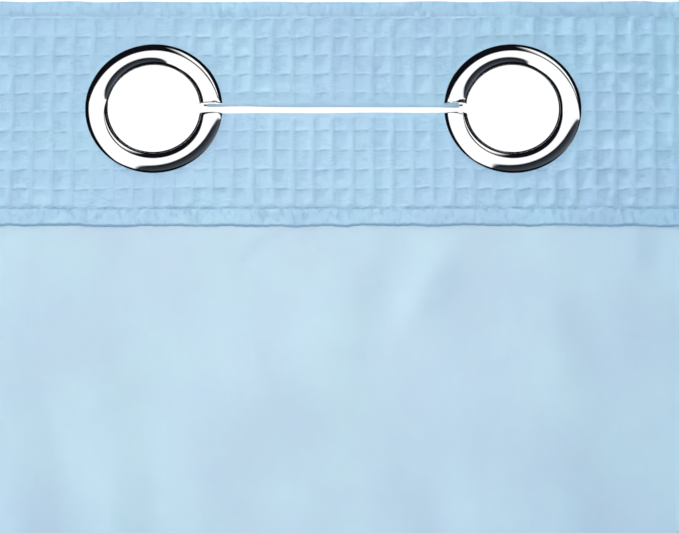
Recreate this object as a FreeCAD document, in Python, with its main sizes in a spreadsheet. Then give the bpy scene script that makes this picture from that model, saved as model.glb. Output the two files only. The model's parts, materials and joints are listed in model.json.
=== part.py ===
"""Shower curtain with twelve split rings set in a waffle header band.

Frame: millimetres, +Z up, +X along the rod, the curtain's front faces -Y.
The origin is the centre of the sixth ring's bore, beside the curtain's middle, where the
rod holds it. The curtain is stored spread flat. Each ring stands in the middle of a panel, and the
curtain folds at upright lines midway between neighbouring rings.
"""
import FreeCAD, Part
import math
import os

import Sketcher

RING_COUNT = 12
ORIGIN_RING = 6

# Driving dimensions in millimetres: alias, value, what it is.
SIZES = (
    ("ring_count", RING_COUNT, "split rings along the header"),
    ("curtain_width", 1803.0, "finished width"),
    ("curtain_height", 1880.0, "finished height"),
    ("header_above", 48.4, "ring centre up to the header's top fold"),
    ("header_below", 51.3, "ring centre down to the header's foot"),
    ("layer", 0.6, "thickness of one layer of waffle cloth"),
    ("header_cavity", 0.5, "room between the header's two layers"),
    ("stiffener_layer", 0.4, "thickness of the stiffening strip"),
    ("stiffener_above", 46.9, "ring centre up to the strip's top edge"),
    ("stiffener_below", 35.0, "ring centre down to the strip's foot"),
    ("cloth_layer", 0.4, "thickness of the curtain cloth"),
    ("cloth_tuck", 12.0, "height of cloth tucked inside the header"),
    ("hem_layers", 3, "layers of cloth in a turned hem"),
    ("bottom_hem", 25.0, "height of the bottom hem"),
    ("side_hem", 12.0, "width of a side hem"),
    ("fold_gap", 6.0, "fold line to the rigid panel's edge"),
    ("slit_height", 3.2, "height of the slit between two rings"),
    ("bore_radius", 19.3, "inner radius of a ring"),
    ("ring_radius", 28.8, "outer radius of a ring"),
    ("collar_wall", 1.6, "wall of the collar that lines the hole"),
    ("cloth_clearance", 0.1, "ring half to header face, and collar to back half"),
    ("hole_clearance", 0.3, "collar to the edge of the hole in the cloth"),
    ("front_rise", 2.9, "header face to the front half's shoulder"),
    ("back_rise", 2.3, "header face to the back half's rear face"),
    ("front_rim", 1.38, "upright edge at the front half's outer rim"),
    ("back_rim", 0.9, "upright edge at the back half's outer rim"),
    ("inner_slope", 2.2, "width of the front half's inner slope"),
    ("outer_slope", 2.4, "width of the front half's outer slope"),
    ("back_slope", 2.2, "width of the back half's outer slope"),
    ("inner_radius", 3.75, "radius of the front half's inner slope"),
    ("outer_radius", 5.6, "radius of the front half's outer slope"),
    ("back_radius", 5.1, "radius of the back half's outer slope"),
    ("crown_radius", 8.8, "radius of the front half's crown"),
    ("throat", 1.07, "seat to the start of the straight bore"),
    ("split_width", 4.2, "gap where the ring is split"),
    ("peg_count", 6, "pegs that pin the cloth and hold the halves"),
    ("peg_radius", 1.0, "radius of a peg"),
    ("peg_circle", 24.9, "radius of the circle that the pegs stand on"),
    ("peg_reach", 2.3, "header's middle plane to a peg's tip"),
    ("peg_hole_depth", 2.5, "header's middle plane to the bottom of a peg hole"),
    ("peg_press", 0.03, "radius by which a peg hole is tighter than its peg"),
    ("peg_slack", 0.25, "radius by which the hole in the cloth clears a peg"),
)

HALF_HEADER = "(Sizes.header_cavity / 2 + Sizes.layer)"
SEAT = f"({HALF_HEADER} + Sizes.cloth_clearance)"
SHOULDER = f"({HALF_HEADER} + Sizes.front_rise)"
BACK_FACE = f"({HALF_HEADER} + Sizes.back_rise)"
COLLAR_RADIUS = "(Sizes.bore_radius + Sizes.collar_wall)"
CLOTH_HOLE = f"({COLLAR_RADIUS} + Sizes.hole_clearance)"
PITCH = "(Sizes.curtain_width / Sizes.ring_count)"
HALF_PITCH = f"({PITCH} / 2)"
PANEL_EDGE = f"({HALF_PITCH} - Sizes.fold_gap)"
PAST = "(Sizes.ring_radius * 1.2)"

doc = FreeCAD.newDocument("ShowerCurtain")
sheet = doc.addObject("Spreadsheet::Sheet", "Sizes")


def fill_sheet():
    """Write every driving dimension as a plain number with an alias."""
    for row, (alias, number, meaning) in enumerate(SIZES, start=1):
        sheet.set(f"A{row}", meaning)
        sheet.set(f"B{row}", str(number))
        sheet.setAlias(f"B{row}", alias)
    doc.recompute()


def size(expression):
    """The present value of an expression over the sheet, in millimetres."""
    return float(sheet.evalExpression(expression))


def new_sketch(body, name, role):
    """An empty sketch on one of the body's own origin planes."""
    planes = [p for p in body.Origin.OriginFeatures if p.Role == role]
    sketch = body.newObject("Sketcher::SketchObject", name)
    sketch.AttachmentSupport = (planes[0], [""])
    sketch.MapMode = "FlatFace"
    return sketch


def fix_point(sketch, geometry, position, x, y):
    """Hold one point of the sketch at (x, y), both bound to the sheet."""
    for kind, expression in (("DistanceX", x), ("DistanceY", y)):
        held = Sketcher.Constraint(kind, -1, 1, geometry, position, size(expression))
        index = sketch.addConstraint(held)
        sketch.setExpression(f"Constraints[{index}]", expression)


def bulged_arc(start, end, radius):
    """An arc from start to end that bulges to the right of the way it is travelled."""
    chord = end - start
    half = chord.Length / 2
    rise = radius - math.sqrt(radius * radius - half * half)
    outward = FreeCAD.Vector(chord.y, -chord.x, 0).normalize()
    return Part.Arc(start, start + chord * 0.5 + outward * rise, end)


def outline(sketch, corners):
    """A closed outline, anticlockwise. A corner is (x, y, radius): radius rounds the edge after it."""
    points = [FreeCAD.Vector(size(x), size(y), 0) for x, y, _ in corners]
    for index, (x, y, radius) in enumerate(corners):
        start = points[index]
        end = points[(index + 1) % len(points)]
        if radius is None:
            sketch.addGeometry(Part.LineSegment(start, end))
        else:
            sketch.addGeometry(bulged_arc(start, end, size(radius)))
        fix_point(sketch, index, 1, x, y)
    for index, (_, _, radius) in enumerate(corners):
        following = (index + 1) % len(corners)
        sketch.addConstraint(Sketcher.Constraint("Coincident", index, 2, following, 1))
        if radius is not None:
            number = sketch.addConstraint(Sketcher.Constraint("Radius", index, size(radius)))
            sketch.setExpression(f"Constraints[{number}]", radius)


def rectangle(sketch, left, right, low, high):
    outline(sketch, ((left, low, None), (right, low, None), (right, high, None), (left, high, None)))


def circle(sketch, x, y, radius):
    centre = FreeCAD.Vector(size(x), size(y), 0)
    index = sketch.addGeometry(Part.Circle(centre, FreeCAD.Vector(0, 0, 1), size(radius)))
    fix_point(sketch, index, 3, x, y)
    number = sketch.addConstraint(Sketcher.Constraint("Radius", index, size(radius)))
    sketch.setExpression(f"Constraints[{number}]", radius)


def sweep_both_ways(body, kind, name, sketch, length):
    """A pad or pocket of the sketch, half of its length on each side of the plane."""
    feature = body.newObject(f"PartDesign::{kind}", name)
    feature.Profile = sketch
    feature.SideType = "Symmetric"
    feature.setExpression("Length", length)
    sketch.Visibility = False
    body.Tip = feature
    return feature


def revolve_ring(body, corners):
    """Turn a cross-section, drawn as radius by depth, about the bore's axis."""
    section = new_sketch(body, f"{body.Name}_section", "XY_Plane")
    outline(section, corners)
    ring = body.newObject("PartDesign::Revolution", f"{body.Name}_ring")
    ring.Profile = section
    ring.ReferenceAxis = (section, ["V_Axis"])
    ring.Angle = 360
    body.Tip = ring


def repeat_at_pegs(body, feature):
    """Repeat a peg or a peg hole evenly round the bore's axis."""
    axis = [a for a in body.Origin.OriginFeatures if a.Role == "Y_Axis"][0]
    doc.recompute()
    pattern = body.newObject("PartDesign::PolarPattern", f"{feature.Name}_pattern")
    pattern.Originals = [feature]
    pattern.Axis = (axis, [""])
    pattern.Angle = 360
    pattern.setExpression("Occurrences", "Sizes.peg_count")
    body.Tip = pattern


def peg_feature(body, kind, radius, length):
    """One peg or peg hole, half a spacing round from the split, and its pattern."""
    turn = "(180 deg / Sizes.peg_count)"
    sketch = new_sketch(body, f"{body.Name}_peg_sketch", "XZ_Plane")
    circle(sketch, f"Sizes.peg_circle * cos({turn})", f"Sizes.peg_circle * sin({turn})", radius)
    peg = sweep_both_ways(body, kind, f"{body.Name}_peg", sketch, length)
    repeat_at_pegs(body, peg)


def cut_window(body, name, left, right, height):
    """Cut a window from left to right, centred on the ring's height, right through the depth."""
    sketch = new_sketch(body, f"{body.Name}_{name}_sketch", "XZ_Plane")
    rectangle(sketch, left, right, f"-{height} / 2", f"{height} / 2")
    sweep_both_ways(body, "Pocket", f"{body.Name}_{name}", sketch, "Sizes.ring_radius")


def cut_round_hole(body, radius):
    sketch = new_sketch(body, f"{body.Name}_hole_sketch", "XZ_Plane")
    circle(sketch, "0", "0", radius)
    sweep_both_ways(body, "Pocket", f"{body.Name}_hole", sketch, "Sizes.ring_radius")


def ring_front(body):
    """Domed front half: a C with a rounded crown, the collar through the cloth, and the pegs."""
    bore = "Sizes.bore_radius"
    rim = "Sizes.ring_radius"
    revolve_ring(body, (
        (bore, f"-({SEAT} + Sizes.throat)", "Sizes.inner_radius"),
        (f"{bore} + Sizes.inner_slope", f"-{SHOULDER}", "Sizes.crown_radius"),
        (f"{rim} - Sizes.outer_slope", f"-{SHOULDER}", "Sizes.outer_radius"),
        (rim, f"-({SEAT} + Sizes.front_rim)", None),
        (rim, f"-{SEAT}", None),
        (COLLAR_RADIUS, f"-{SEAT}", None),
        (COLLAR_RADIUS, BACK_FACE, None),
        (bore, BACK_FACE, None),
    ))
    peg_feature(body, "Pad", "Sizes.peg_radius", "Sizes.peg_reach * 2")
    cut_window(body, "split", "0", PAST, "Sizes.split_width")


def ring_back(body):
    """Flatter back half: a C round the collar, with blind holes that the pegs press into."""
    inner = f"{COLLAR_RADIUS} + Sizes.cloth_clearance"
    rim = "Sizes.ring_radius"
    revolve_ring(body, (
        (inner, SEAT, None),
        (rim, SEAT, None),
        (rim, f"{SEAT} + Sizes.back_rim", "Sizes.back_radius"),
        (f"{rim} - Sizes.back_slope", BACK_FACE, None),
        (inner, BACK_FACE, None),
    ))
    peg_feature(body, "Pocket", "Sizes.peg_radius - Sizes.peg_press", "Sizes.peg_hole_depth * 2")
    cut_window(body, "split", "0", PAST, "Sizes.split_width")


def open_for_ring(body):
    """Cut the ring's hole, the slit to the neighbouring ring and the peg holes in a header layer."""
    cut_round_hole(body, CLOTH_HOLE)
    cut_window(body, "slit", "0", HALF_PITCH, "Sizes.slit_height")
    peg_feature(body, "Pocket", "Sizes.peg_radius + Sizes.peg_slack", "Sizes.ring_radius")


def header_band(body, plain_edge):
    """Waffle cloth folded double over the top edge, open at its foot."""
    sketch = new_sketch(body, f"{body.Name}_outline", "XZ_Plane")
    rectangle(sketch, f"-{plain_edge}", PANEL_EDGE, "-Sizes.header_below", "Sizes.header_above")
    sweep_both_ways(body, "Pad", f"{body.Name}_band", sketch, f"{HALF_HEADER} * 2")
    inside = new_sketch(body, f"{body.Name}_inside", "YZ_Plane")
    half = "Sizes.header_cavity / 2"
    rectangle(inside, f"-{half}", half, "-Sizes.header_below * 1.2", "Sizes.header_above - Sizes.layer")
    sweep_both_ways(body, "Pocket", f"{body.Name}_fold", inside, f"{PITCH} * 1.2")
    open_for_ring(body)


def header_stiffener(body, plain_edge):
    """Stiffening strip between the header's layers, which the ring halves clamp."""
    sketch = new_sketch(body, f"{body.Name}_outline", "XZ_Plane")
    rectangle(sketch, f"-{plain_edge}", PANEL_EDGE, "-Sizes.stiffener_below", "Sizes.stiffener_above")
    sweep_both_ways(body, "Pad", f"{body.Name}_strip", sketch, "Sizes.stiffener_layer")
    open_for_ring(body)


def curtain_cloth(body, left_edge, right_edge, hem_side):
    """Smooth cloth from inside the header down to the bottom hem; end panels have a side hem."""
    foot = "(Sizes.header_above - Sizes.curtain_height)"
    hem_depth = "Sizes.cloth_layer * Sizes.hem_layers"
    top = "-Sizes.header_below + Sizes.cloth_tuck"
    sketch = new_sketch(body, f"{body.Name}_outline", "XZ_Plane")
    rectangle(sketch, f"-{left_edge}", right_edge, foot, top)
    sweep_both_ways(body, "Pad", f"{body.Name}_sheet", sketch, "Sizes.cloth_layer")
    hem = new_sketch(body, f"{body.Name}_foot", "XZ_Plane")
    rectangle(hem, f"-{left_edge}", right_edge, foot, f"{foot} + Sizes.bottom_hem")
    sweep_both_ways(body, "Pad", f"{body.Name}_bottom_hem", hem, hem_depth)
    if hem_side is None:
        return
    edge = new_sketch(body, f"{body.Name}_edge", "XZ_Plane")
    below_header = "-Sizes.header_below - Sizes.cloth_layer"
    if hem_side == "left":
        rectangle(edge, f"-{left_edge}", f"-{left_edge} + Sizes.side_hem", foot, below_header)
    else:
        rectangle(edge, f"{right_edge} - Sizes.side_hem", right_edge, foot, below_header)
    sweep_both_ways(body, "Pad", f"{body.Name}_side_hem", edge, hem_depth)


def place(body, number, turn_axis):
    """Stand the piece at its ring. Even rings face back to the odd ring of their pair."""
    if number % 2 == 0 and turn_axis is not None:
        body.Placement = FreeCAD.Placement(FreeCAD.Vector(), FreeCAD.Rotation(turn_axis, 180))
    body.setExpression("Placement.Base.x", f"{PITCH} * {number - ORIGIN_RING}")


def new_body(name, number):
    label = f"{name}_{number:02d}"
    body = doc.addObject("PartDesign::Body", label)
    body.Label = label
    return body


def build_panel(number):
    """The five pieces of one panel: two ring halves, band, stiffener and cloth."""
    upright = FreeCAD.Vector(0, 0, 1)
    bore_axis = FreeCAD.Vector(0, 1, 0)
    is_end = number in (1, RING_COUNT)
    plain_edge = HALF_PITCH if is_end else PANEL_EDGE
    pieces = []
    for name, build in (("ring_front", ring_front), ("ring_back", ring_back)):
        body = new_body(name, number)
        build(body)
        place(body, number, bore_axis)
        pieces.append(body)
    for name, build in (("header_band", header_band), ("header_stiffener", header_stiffener)):
        body = new_body(name, number)
        build(body, plain_edge)
        place(body, number, upright)
        pieces.append(body)
    cloth = new_body("curtain_cloth", number)
    left_edge = HALF_PITCH if number == 1 else PANEL_EDGE
    right_edge = HALF_PITCH if number == RING_COUNT else PANEL_EDGE
    hem_side = {1: "left", RING_COUNT: "right"}.get(number)
    curtain_cloth(cloth, left_edge, right_edge, hem_side)
    place(cloth, number, None)
    pieces.append(cloth)
    return pieces


def check(pieces):
    """Stop if any object failed, any piece is not a sound solid, or any pocket cut nothing."""
    for item in doc.Objects:
        if "Invalid" in item.State or "Error" in item.State:
            raise RuntimeError(f"{item.Name} failed: {item.State}")
        if item.TypeId == "PartDesign::Pocket":
            if item.Shape.Volume > item.BaseFeature.Shape.Volume - 0.01:
                raise RuntimeError(f"{item.Name} removes nothing")
    for piece in pieces:
        shape = piece.Shape
        if shape.isNull() or not shape.isValid() or len(shape.Solids) != 1:
            raise RuntimeError(f"{piece.Label} is not one valid solid")


def main():
    fill_sheet()
    pieces = []
    for number in range(1, RING_COUNT + 1):
        pieces.extend(build_panel(number))
    doc.recompute()
    check(pieces)
    os.makedirs("parts", exist_ok=True)
    for piece in pieces:
        piece.Shape.exportStep(f"parts/{piece.Label}.step")
    print(len(pieces), "pieces written")


main()
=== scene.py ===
"""Shower curtain with split rings: cloth, stitching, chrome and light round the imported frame."""
import json
import math

import bmesh
import bpy
import numpy as np
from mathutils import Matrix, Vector

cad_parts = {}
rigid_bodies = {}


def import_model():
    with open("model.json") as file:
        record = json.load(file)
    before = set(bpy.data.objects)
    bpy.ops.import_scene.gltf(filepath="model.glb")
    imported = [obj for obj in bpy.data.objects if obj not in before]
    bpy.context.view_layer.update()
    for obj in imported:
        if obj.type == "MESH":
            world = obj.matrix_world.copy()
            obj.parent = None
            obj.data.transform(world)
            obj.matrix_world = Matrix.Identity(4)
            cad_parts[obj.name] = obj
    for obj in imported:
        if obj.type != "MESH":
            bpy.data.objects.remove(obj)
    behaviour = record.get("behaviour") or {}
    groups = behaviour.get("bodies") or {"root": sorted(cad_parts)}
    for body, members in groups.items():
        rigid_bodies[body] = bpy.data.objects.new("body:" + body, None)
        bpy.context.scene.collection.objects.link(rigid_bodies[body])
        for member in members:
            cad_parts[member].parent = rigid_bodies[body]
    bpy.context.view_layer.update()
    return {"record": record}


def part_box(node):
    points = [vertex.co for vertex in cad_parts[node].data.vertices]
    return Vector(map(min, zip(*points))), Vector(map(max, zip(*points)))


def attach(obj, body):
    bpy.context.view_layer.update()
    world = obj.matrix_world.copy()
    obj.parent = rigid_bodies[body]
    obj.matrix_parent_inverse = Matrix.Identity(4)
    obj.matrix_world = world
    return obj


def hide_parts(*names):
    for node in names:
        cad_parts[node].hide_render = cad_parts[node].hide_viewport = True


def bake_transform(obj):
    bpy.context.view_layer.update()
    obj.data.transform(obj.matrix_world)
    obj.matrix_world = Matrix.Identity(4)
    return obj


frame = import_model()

MM = 0.001

# ---------------- sizes, in millimetres
RING_COUNT = 12
MOUNTS = {m["name"]: m for m in frame["record"]["mounts"]}
RING_X = [MOUNTS[f"rod_ring_{n:02d}"]["pos_m"][0] / MM for n in range(1, RING_COUNT + 1)]
PITCH = RING_X[1] - RING_X[0]
PAIR_MIDDLE = (RING_X[4] + RING_X[5]) / 2


def node_box(name):
    """A CAD node's lowest and highest corner in millimetres."""
    low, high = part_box(name)
    return low / MM, high / MM


HEADER_LOW, HEADER_HIGH = node_box("header_band_06")
STRIP_LOW, STRIP_HIGH = node_box("header_stiffener_06")
CLOTH_LOW, CLOTH_HIGH = node_box("curtain_cloth_06")
FRONT_LOW, FRONT_HIGH = node_box("ring_front_06")
LEFT_EDGE = node_box("curtain_cloth_01")[0].x
RIGHT_EDGE = node_box("curtain_cloth_12")[1].x
SPAN_ENDS = [LEFT_EDGE, *RING_X, RIGHT_EDGE]

HALF_HEADER = HEADER_HIGH.y  # half of the header's thickness
HEADER_TOP = HEADER_HIGH.z
HEADER_FOOT = HEADER_LOW.z
CLOTH_TOP = CLOTH_HIGH.z
CLOTH_FOOT = CLOTH_LOW.z
RING_RADIUS = FRONT_HIGH.z
BORE_RADIUS = MOUNTS["rod_ring_06"]["dims"]["r_mm"]
COLLAR_RADIUS = BORE_RADIUS + 1.6
SPLIT_WIDTH = 4.2
HIDDEN_HOLE = COLLAR_RADIUS + 1.7  # the cloth ends under the ring, inside this radius
HALF_SLIT = 1.34
CELL = 8.41  # waffle cell, square
CELL_SHIFT_X = 0.1  # a ridge stands this far from the sixth ring's centre
CELL_SHIFT_Z = -0.75
RELIEF = 0.66  # height of the waffle's ridges
TOP_STITCH = HEADER_TOP - 6.2  # height of the upper stitch row
FOOT_STITCH = HEADER_FOOT + 7.8  # height of the lower stitch row
HEM_HEIGHT = 25.0
HALF_HEM = 0.62
MAP_SHIFT = 200.0  # the back's cloth coordinates lie this far beside the front's
HEADER_ROUND = 1.1  # reach of the rounding at the header's edges, the slit and the hems
SLIT_ROUND = 1.6
HEM_ROUND = 0.9
HEM_STITCH = 2.4  # the stitches stand this far under a hem's upper edge
SIDE_HEM = 12.0
MAX_RIPPLE = 9.0
FOLD_ROOM = 3.2  # the ripples' room at a fold line, and its growth away from one
ROOM_SLOPE = 0.165
FULL_DRAPE = 420.0  # the drape has its full depth this far below the header
STITCH_PITCH = 4.2
STITCH_LENGTH = 3.1
STITCH_RINGS, STITCH_SIDES = 7, 6
HEADER_STEP = 0.66  # distance between the header's mesh lines
HEADER_EDGE = (0.14, 0.36, 0.70)  # where its first mesh lines stand, in from an edge
CLOTH_STEP = 2.5
STRIP_STEP = 1.5
FINE_REACH = 150.0  # the curtain's rows are closer together this far below the header
STRIP_EDGE = (0.2, 0.5, 1.0)
BACK_SHIFT = 3.1  # the weave on the header's back lies this far aside
EASE = 12.0  # the pull on the cloth changes this close to a ring's centre


# ---------------- smooth noise
def smooth_lookup(table, u, v):
    """A table's value between its entries, changing smoothly from one to the next. It wraps round."""
    rows, columns = table.shape
    i, j = np.floor(u).astype(int), np.floor(v).astype(int)
    a, b = u - i, v - j
    a, b = a * a * (3 - 2 * a), b * b * (3 - 2 * b)
    low = table[i % rows, j % columns] * (1 - a) + table[(i + 1) % rows, j % columns] * a
    high = table[i % rows, (j + 1) % columns] * (1 - a) + table[(i + 1) % rows, (j + 1) % columns] * a
    return low * (1 - b) + high * b


def noise(x, z, cell, seed):
    """Smooth value noise from -1 to 1 over a lattice of that cell size; the same every run."""
    table = np.random.default_rng(seed).uniform(-1, 1, (256, 256))
    u, v = np.broadcast_arrays(np.asarray(x, float), np.asarray(z, float))
    return smooth_lookup(table, u / cell, v / cell)


def smoothstep(low, high, value):
    t = np.clip((value - low) / (high - low), 0, 1)
    return t * t * (3 - 2 * t)


def bump(distance, width):
    return np.exp(-(distance / width) ** 2)


def rounded(from_edge, radius):
    """Share of a cloth's thickness near its edge: a quarter at the edge, all of it past the radius."""
    t = np.clip(from_edge / radius, 0, 1)
    return 0.25 + 0.75 * np.sqrt(np.clip(1 - (1 - t) ** 2, 0, 1))


def in_scene(name, data):
    """A new object of that mesh, camera or light, in the scene."""
    thing = bpy.data.objects.new(name, data)
    bpy.context.scene.collection.objects.link(thing)
    return thing


def smooth_mesh(name, points, faces):
    """A smooth-shaded mesh of points in millimetres."""
    mesh = bpy.data.meshes.new(name)
    mesh.from_pydata((points * MM).tolist(), [], faces)
    mesh.polygons.foreach_set("use_smooth", np.ones(len(faces), bool))
    return mesh


# ---------------- where things are along X
def ring_distance(x, z):
    """Distance to the nearest ring's centre."""
    nearest = np.round((x - RING_X[0]) / PITCH)
    nearest = np.clip(nearest, 0, RING_COUNT - 1)
    return np.hypot(x - RING_X[0] - nearest * PITCH, z)


def fold_distance(x):
    """Distance to the nearest fold line, midway between rings. The side edges count as far."""
    place = np.clip((x - RING_X[0]) / PITCH, 0, RING_COUNT - 1)
    return np.where((x < RING_X[0]) | (x > RING_X[-1]), PITCH / 2,
                    np.abs(place - np.floor(place) - 0.5) * PITCH)


def slit_share(x):
    """1 where a slit joins the two rings of a pair, 0 between pairs and outside."""
    place = np.floor((x - RING_X[0]) / PITCH - 1e-9).astype(int)
    inside = (place >= 0) & (place < RING_COUNT - 1)
    return (inside & (place % 2 == 0)).astype(float)


def looseness(x):
    """0 between the two rings of a pair, 1 between pairs and outside, blending at the rings."""
    place = (x - RING_X[0]) / PITCH
    ring = np.clip(np.round(place), 0, RING_COUNT - 1)
    rise = smoothstep(-EASE, EASE, (place - ring) * PITCH)
    return np.where(ring % 2 == 0, 1 - rise, rise)


def pulled(x):
    """How hard the cloth between pairs is gathered: most just right of a pair, least left of one."""
    return looseness(x) * (0.5 + 0.5 * np.sin(math.pi * (x - PAIR_MIDDLE) / PITCH))


# ---------------- the drape
def softened(field):
    """The field after three passes of a 1-2-1 average along each way."""
    for _ in range(6):
        padded = np.pad(field, ((0, 0), (1, 1)), mode="edge")
        field = ((padded[:, :-2] + 2 * field + padded[:, 2:]) / 4).T
    return field


DRAPE_COLUMNS, DRAPE_ROWS = 85, 60
DRAPE_FRAMES = 45
DRAPE_CLOTH = {"vertex_group_mass": "pins", "quality": 6, "mass": 0.05, "tension_stiffness": 20,
               "compression_stiffness": 20, "shear_stiffness": 8, "bending_stiffness": 0.4,
               "air_damping": 3, "shrink_min": -0.012}  # below zero, the sheet has width to spare


def drape_grid():
    """The columns and rows of the drape, and its points' X and Z."""
    xs = np.linspace(LEFT_EDGE, RIGHT_EDGE, DRAPE_COLUMNS)
    zs = np.linspace(CLOTH_TOP, CLOTH_FOOT, DRAPE_ROWS)
    return xs, zs, *np.meshgrid(xs, zs)


def simulated_drape():
    """Hang the sheet from its top edge with a little spare width, and return its depth field."""
    xs, zs, gx, gz = drape_grid()
    gy = 2.5 * noise(gx, gz, 180.0, 11) * smoothstep(0, 300, CLOTH_TOP - gz)
    points = np.stack([gx, gy, gz], axis=-1).reshape(-1, 3)
    index = np.arange(DRAPE_ROWS * DRAPE_COLUMNS).reshape(DRAPE_ROWS, DRAPE_COLUMNS)
    quads = np.stack([index[:-1, :-1], index[1:, :-1], index[1:, 1:], index[:-1, 1:]], -1).reshape(-1, 4)
    mesh = smooth_mesh("drape", points, quads.tolist())
    sheet = in_scene("drape", mesh)
    pins = sheet.vertex_groups.new(name="pins")
    pins.add(index[0].tolist(), 1.0, "REPLACE")
    cloth = sheet.modifiers.new("Cloth", "CLOTH")
    for setting, value in DRAPE_CLOTH.items():
        setattr(cloth.settings, setting, value)
    cloth.collision_settings.use_collision = False
    cloth.point_cache.frame_start = 1
    cloth.point_cache.frame_end = DRAPE_FRAMES
    scene = bpy.context.scene
    for number in range(1, DRAPE_FRAMES + 1):
        scene.frame_set(number)
    shaped = sheet.evaluated_get(bpy.context.evaluated_depsgraph_get())
    co = np.zeros(len(points) * 3)
    shaped.data.vertices.foreach_get("co", co)
    scene.frame_set(1)
    bpy.data.objects.remove(sheet)
    bpy.data.meshes.remove(mesh)
    depth = co.reshape(DRAPE_ROWS, DRAPE_COLUMNS, 3)[:, :, 1] / MM
    return xs, zs, softened(depth)


DRAPE = simulated_drape()


def sample_drape(x, z):
    """The drape's depth at a point."""
    xs, zs, depth = DRAPE
    u = np.clip((x - xs[0]) / (xs[1] - xs[0]), 0, len(xs) - 1.001)
    v = np.clip((z - zs[0]) / (zs[1] - zs[0]), 0, len(zs) - 1.001)
    return smooth_lookup(depth, v, u)


# A pleat is its place from the pair's middle, its sideways run per unit of height, its width,
# how far down it reaches and its depth.
PLEATS = ((-20, -0.95, 4.5, 26, 0.45), (28, -0.22, 9.0, 95, 1.25), (50, -0.42, 6.5, 80, -0.85),
          (63, 0.04, 7.0, 130, 0.55), (92, 0.02, 6.0, 170, -0.50), (-128, 0.03, 4.0, 70, -0.30),
          (-52, -0.60, 7.0, 60, -0.35), (-84, -0.35, 9.0, 110, 0.40), (4, -0.50, 8.0, 70, 0.45))


def pleats(x, below):
    """Slanting folds that start at the header's foot, in every pair of rings alike but for their depth."""
    pair = np.round((x - PAIR_MIDDLE) / (2 * PITCH))
    depth = 0 * x
    for number, (place, lean, width, reach, height) in enumerate(PLEATS):
        for turn in (-1, 0, 1):
            away = x - PAIR_MIDDLE - (pair + turn) * 2 * PITCH - place - lean * below
            vary = 0.75 + 0.5 * noise((pair + turn) * 7.3 + number, 0 * x, 1.0, 31)
            vary = np.where(pair + turn == 0, 1.0, vary)
            fade = smoothstep(0, 0.18 * reach, below) * (1 - smoothstep(0.35 * reach, reach, below))
            depth = depth + height * vary * fade * bump(away, width * (1 + 0.8 * below / reach))
    return depth


def ripple(x, z):
    """How far the curtain cloth stands in front of or behind its middle plane."""
    below = HEADER_FOOT - z
    grown = smoothstep(0, FULL_DRAPE, below)
    room = np.clip(ROOM_SLOPE * fold_distance(x), FOLD_ROOM, MAX_RIPPLE)
    wide = sample_drape(x, z) * (0.10 + 0.90 * grown)
    broad = 1.3 * noise(x + 0.5 * z, z - 0.3 * x, 44.0, 23)
    drift = 1.5 * noise(x + 0.14 * z, 0.20 * z, 19.0, 47) * smoothstep(30, 120, below)
    fan = 0.55 * noise(x + 0.32 * z, 0.14 * z, 13.0, 29) * (1 - smoothstep(60, 260, below))
    slack = smoothstep(1, 26, below)
    value = (wide + broad + drift + fan) * slack + pleats(x, below)
    shape = room * np.tanh(value / room)
    return shape + billow(x, np.maximum(z, HEADER_FOOT)) * (1 - smoothstep(0, 40, below))


# ---------------- waffle relief
def weave_place(x, z):
    """Where a point lies in the weave, in cells. Whole numbers are ridges, which wander a little."""
    wide_x = 0.50 * noise(x, z, 31.0, 1) + 0.16 * noise(x, z, 7.0, 2)
    wide_z = 0.62 * noise(x, z, 37.0, 3) + 0.30 * noise(x, z, 6.5, 4)
    across = (x + wide_x - CELL_SHIFT_X) / CELL
    tilt = (0.20 + 0.16 * noise(x, z, 45.0, 17)) * np.sin(2 * np.pi * across)
    return across, (z + wide_z + tilt - CELL_SHIFT_Z) / CELL


def ridge(distance, top, foot):
    """A ridge with a flat top and a steep side, from whose foot the cell sinks gently."""
    side = 1 - smoothstep(top, foot, distance)
    bowl = 1 - smoothstep(0.6 * foot, CELL / 2, distance)
    return 0.55 * side + 0.45 * bowl


def waffle(x, z):
    """Height of the waffle weave from 0 to 1: raised ridges round sunk cells."""
    u, v = weave_place(x, z)
    dx = np.abs(u - np.round(u)) * CELL
    dz = np.abs(v - np.round(v)) * CELL
    upright = ridge(dx, 0.75, 1.75) * (0.80 + 0.25 * noise(x, z, 11.0, 5))
    level = ridge(dz, 0.20, 1.05) * (0.74 + 0.34 * noise(x, z, 9.0, 6))
    pull = 0.14 * noise(x, z, 2.6, 12)
    return 1 - (1 - upright) * (1 - level) + pull


def crinkle(x, z):
    """Fine irregular crinkles of a gathered hem."""
    upright = noise(x + 0.3 * z, z * 0.42, 1.9, 7)
    return 0.20 * upright + 0.20 * noise(x - 0.4 * z, z, 3.0, 8)


def billow(x, z):
    """The slow waves of the whole header, which the layers inside it share.

    Between the pairs of rings, where no slit eases the cloth, it also puckers.
    """
    clear = smoothstep(RING_RADIUS - 1, RING_RADIUS + 14, ring_distance(x, z))
    loose = clear * (0.3 * looseness(x) + pulled(x))
    loose = loose * smoothstep(-0.35, 0.35, noise(x, z, 26.0, 15))
    pucker = noise(0.55 * x + z, 0.30 * z - 0.35 * x, 6.0, 16)
    return 0.50 * clear * noise(x + 0.3 * z, z, 30.0, 10) + 0.90 * loose * pucker


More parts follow.
